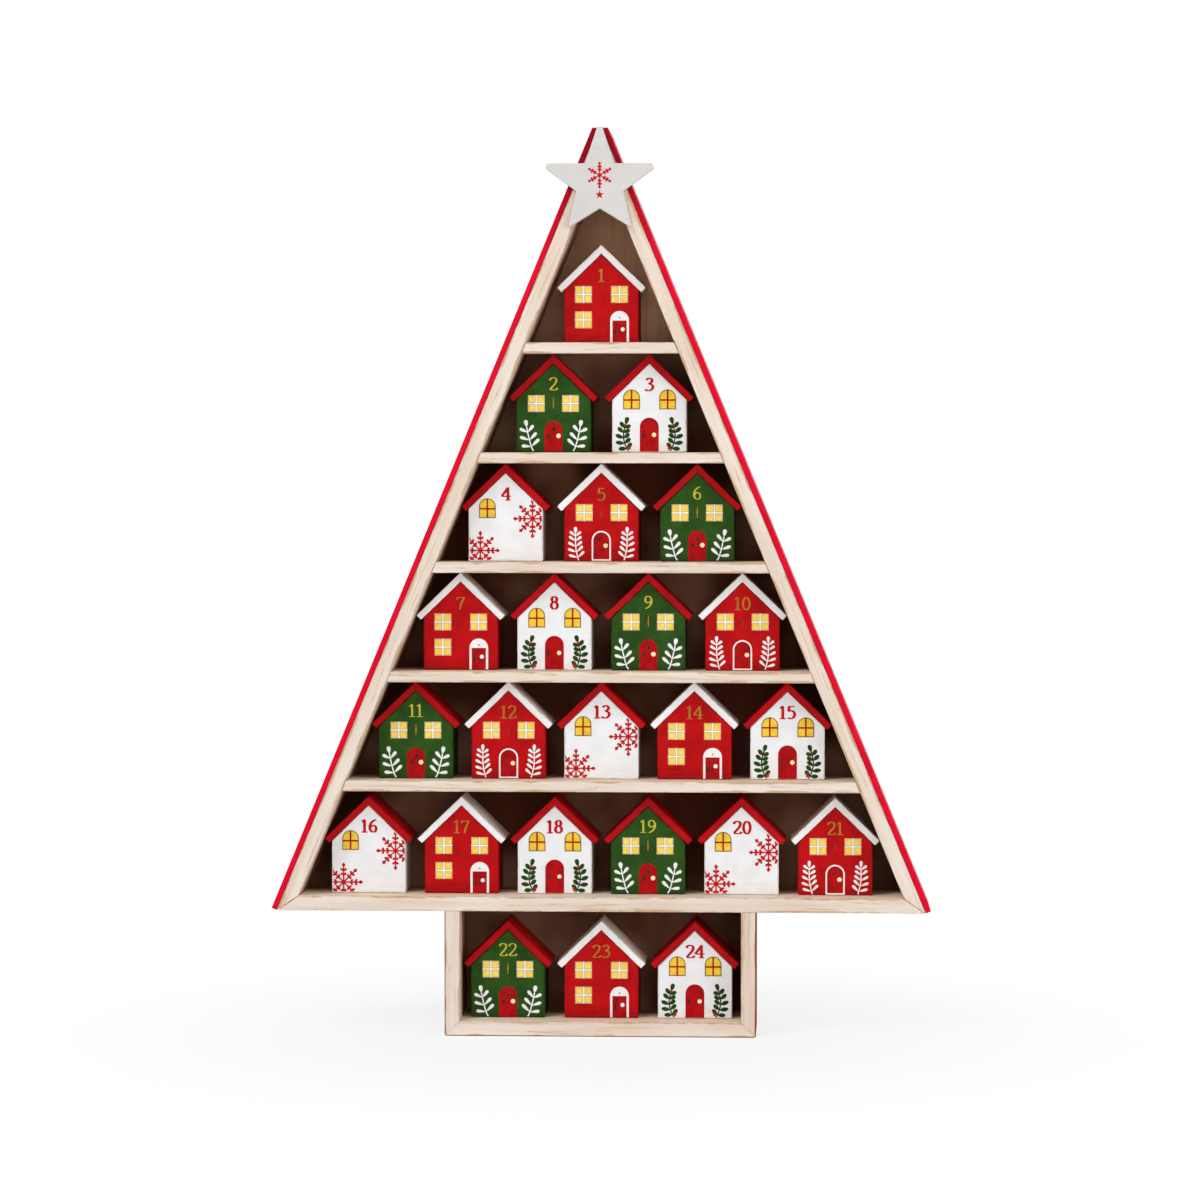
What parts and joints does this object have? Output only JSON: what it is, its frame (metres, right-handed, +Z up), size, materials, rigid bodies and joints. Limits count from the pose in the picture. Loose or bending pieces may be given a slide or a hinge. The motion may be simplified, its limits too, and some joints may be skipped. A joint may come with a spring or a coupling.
{
  "type": "tree advent calendar",
  "caption": "Free-standing wooden advent calendar: a fir-tree frame of leaning boards and shelves with a square trunk and a star, holding small hollow pull-out houses numbered by day.",
  "frame": {"origin": "middle of the whole width and depth, on the surface that the trunk stands on", "axes": "+Z up, +Y to the back, so the front with the houses faces -Y, +X to the right seen from the front"},
  "size_m": [0.4382, 0.0684, 0.6021],
  "materials": {
    "pine": "whitewashed matte",
    "cover_red": "painted satin",
    "back_brown": "bare board, matte",
    "star_white": "painted matte",
    "red_wall": "painted, lightly distressed",
    "green_wall": "painted, lightly distressed",
    "white_wall": "painted matte",
    "red_roof": "painted satin",
    "white_roof": "painted satin"
  },
  "bodies": {
    "tree": {"side_board_left": "pine", "side_board_right": "pine", "cover_board_left": "cover_red", "cover_board_right": "cover_red", "base_and_trunk": "pine", "back_panel": "back_brown", "star": "star_white", "shelf_1": "pine", "shelf_2": "pine", "shelf_3": "pine", "shelf_4": "pine", "shelf_5": "pine"},
    "house_01": {"house_01_body": "red_wall", "house_01_roof": "white_roof"},
    "house_02": {"house_02_body": "green_wall", "house_02_roof": "red_roof"},
    "house_03": {"house_03_body": "white_wall", "house_03_roof": "red_roof"},
    "house_04": {"house_04_body": "white_wall", "house_04_roof": "red_roof"},
    "house_05": {"house_05_body": "red_wall", "house_05_roof": "white_roof"},
    "house_06": {"house_06_body": "green_wall", "house_06_roof": "red_roof"},
    "house_07": {"house_07_body": "red_wall", "house_07_roof": "white_roof"},
    "house_08": {"house_08_body": "white_wall", "house_08_roof": "red_roof"},
    "house_09": {"house_09_body": "green_wall", "house_09_roof": "red_roof"},
    "house_10": {"house_10_body": "red_wall", "house_10_roof": "white_roof"},
    "house_11": {"house_11_body": "green_wall", "house_11_roof": "red_roof"},
    "house_12": {"house_12_body": "red_wall", "house_12_roof": "white_roof"},
    "house_13": {"house_13_body": "white_wall", "house_13_roof": "red_roof"},
    "house_14": {"house_14_body": "red_wall", "house_14_roof": "white_roof"},
    "house_15": {"house_15_body": "white_wall", "house_15_roof": "red_roof"},
    "house_16": {"house_16_body": "white_wall", "house_16_roof": "red_roof"},
    "house_17": {"house_17_body": "red_wall", "house_17_roof": "white_roof"},
    "house_18": {"house_18_body": "white_wall", "house_18_roof": "red_roof"},
    "house_19": {"house_19_body": "green_wall", "house_19_roof": "red_roof"},
    "house_20": {"house_20_body": "white_wall", "house_20_roof": "red_roof"},
    "house_21": {"house_21_body": "red_wall", "house_21_roof": "white_roof"},
    "house_22": {"house_22_body": "green_wall", "house_22_roof": "red_roof"},
    "house_23": {"house_23_body": "red_wall", "house_23_roof": "white_roof"},
    "house_24": {"house_24_body": "white_wall", "house_24_roof": "red_roof"}
  },
  "joints": [
    {"name": "house_01_slide", "type": "slide", "parent": "tree", "child": "house_01", "axis": [0, -1, 0], "range_m": [0, 0.065]},
    {"name": "house_02_slide", "type": "slide", "parent": "tree", "child": "house_02", "axis": [0, -1, 0], "range_m": [0, 0.065]},
    {"name": "house_03_slide", "type": "slide", "parent": "tree", "child": "house_03", "axis": [0, -1, 0], "range_m": [0, 0.065]},
    {"name": "house_04_slide", "type": "slide", "parent": "tree", "child": "house_04", "axis": [0, -1, 0], "range_m": [0, 0.065]},
    {"name": "house_05_slide", "type": "slide", "parent": "tree", "child": "house_05", "axis": [0, -1, 0], "range_m": [0, 0.065]},
    {"name": "house_06_slide", "type": "slide", "parent": "tree", "child": "house_06", "axis": [0, -1, 0], "range_m": [0, 0.065]},
    {"name": "house_07_slide", "type": "slide", "parent": "tree", "child": "house_07", "axis": [0, -1, 0], "range_m": [0, 0.065]},
    {"name": "house_08_slide", "type": "slide", "parent": "tree", "child": "house_08", "axis": [0, -1, 0], "range_m": [0, 0.065]},
    {"name": "house_09_slide", "type": "slide", "parent": "tree", "child": "house_09", "axis": [0, -1, 0], "range_m": [0, 0.065]},
    {"name": "house_10_slide", "type": "slide", "parent": "tree", "child": "house_10", "axis": [0, -1, 0], "range_m": [0, 0.065]},
    {"name": "house_11_slide", "type": "slide", "parent": "tree", "child": "house_11", "axis": [0, -1, 0], "range_m": [0, 0.065]},
    {"name": "house_12_slide", "type": "slide", "parent": "tree", "child": "house_12", "axis": [0, -1, 0], "range_m": [0, 0.065]},
    {"name": "house_13_slide", "type": "slide", "parent": "tree", "child": "house_13", "axis": [0, -1, 0], "range_m": [0, 0.065]},
    {"name": "house_14_slide", "type": "slide", "parent": "tree", "child": "house_14", "axis": [0, -1, 0], "range_m": [0, 0.065]},
    {"name": "house_15_slide", "type": "slide", "parent": "tree", "child": "house_15", "axis": [0, -1, 0], "range_m": [0, 0.065]},
    {"name": "house_16_slide", "type": "slide", "parent": "tree", "child": "house_16", "axis": [0, -1, 0], "range_m": [0, 0.065]},
    {"name": "house_17_slide", "type": "slide", "parent": "tree", "child": "house_17", "axis": [0, -1, 0], "range_m": [0, 0.065]},
    {"name": "house_18_slide", "type": "slide", "parent": "tree", "child": "house_18", "axis": [0, -1, 0], "range_m": [0, 0.065]},
    {"name": "house_19_slide", "type": "slide", "parent": "tree", "child": "house_19", "axis": [0, -1, 0], "range_m": [0, 0.065]},
    {"name": "house_20_slide", "type": "slide", "parent": "tree", "child": "house_20", "axis": [0, -1, 0], "range_m": [0, 0.065]},
    {"name": "house_21_slide", "type": "slide", "parent": "tree", "child": "house_21", "axis": [0, -1, 0], "range_m": [0, 0.065]},
    {"name": "house_22_slide", "type": "slide", "parent": "tree", "child": "house_22", "axis": [0, -1, 0], "range_m": [0, 0.065]},
    {"name": "house_23_slide", "type": "slide", "parent": "tree", "child": "house_23", "axis": [0, -1, 0], "range_m": [0, 0.065]},
    {"name": "house_24_slide", "type": "slide", "parent": "tree", "child": "house_24", "axis": [0, -1, 0], "range_m": [0, 0.065]}
  ]
}
